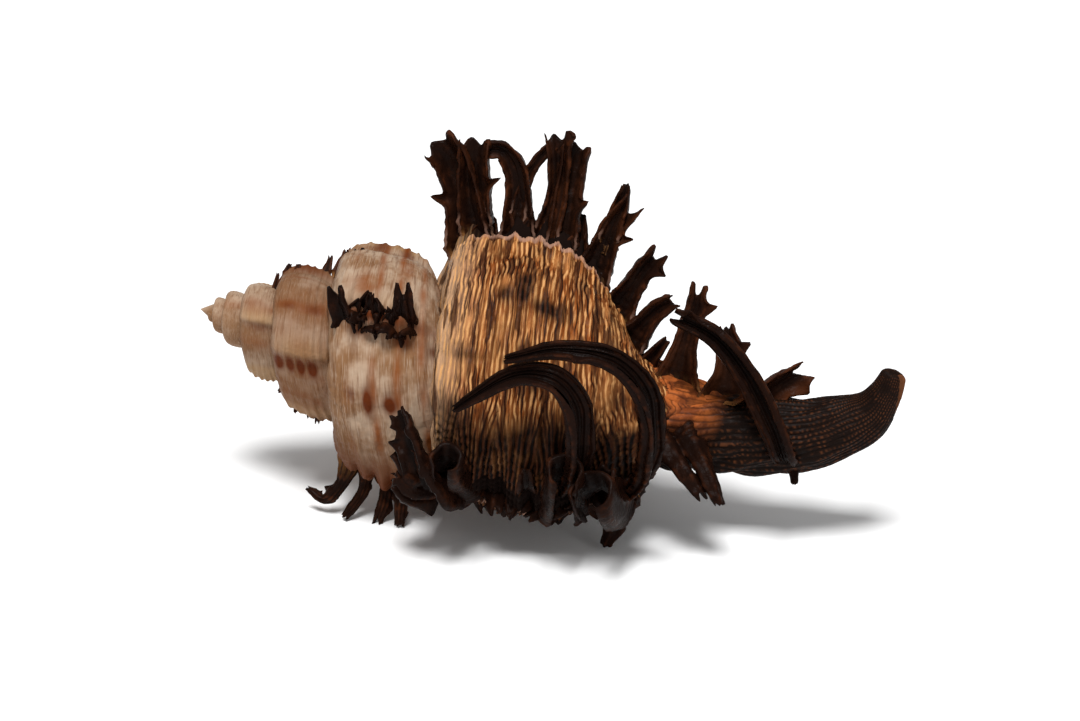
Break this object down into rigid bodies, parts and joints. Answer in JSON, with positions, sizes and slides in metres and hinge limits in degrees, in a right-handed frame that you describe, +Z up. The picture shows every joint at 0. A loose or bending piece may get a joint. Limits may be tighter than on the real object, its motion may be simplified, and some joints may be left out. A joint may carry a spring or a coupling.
{
  "type": "murex shell",
  "caption": "Spiny sea snail shell lying on its fronds: coiled spire, frilled varices with long curved fronds, open aperture and a long siphonal canal.",
  "frame": {"origin": "middle of the bounding box, on the plane that the shell's fronds rest on", "axes": "+X towards the end of the siphonal canal, with the spire at -X; +Y away from the viewer, on the aperture's side; +Z up"},
  "size_m": [0.1, 0.0498, 0.0553],
  "materials": {
    "shell": "satin"
  },
  "bodies": {
    "root": {"shell": "shell"}
  },
  "joints": []
}
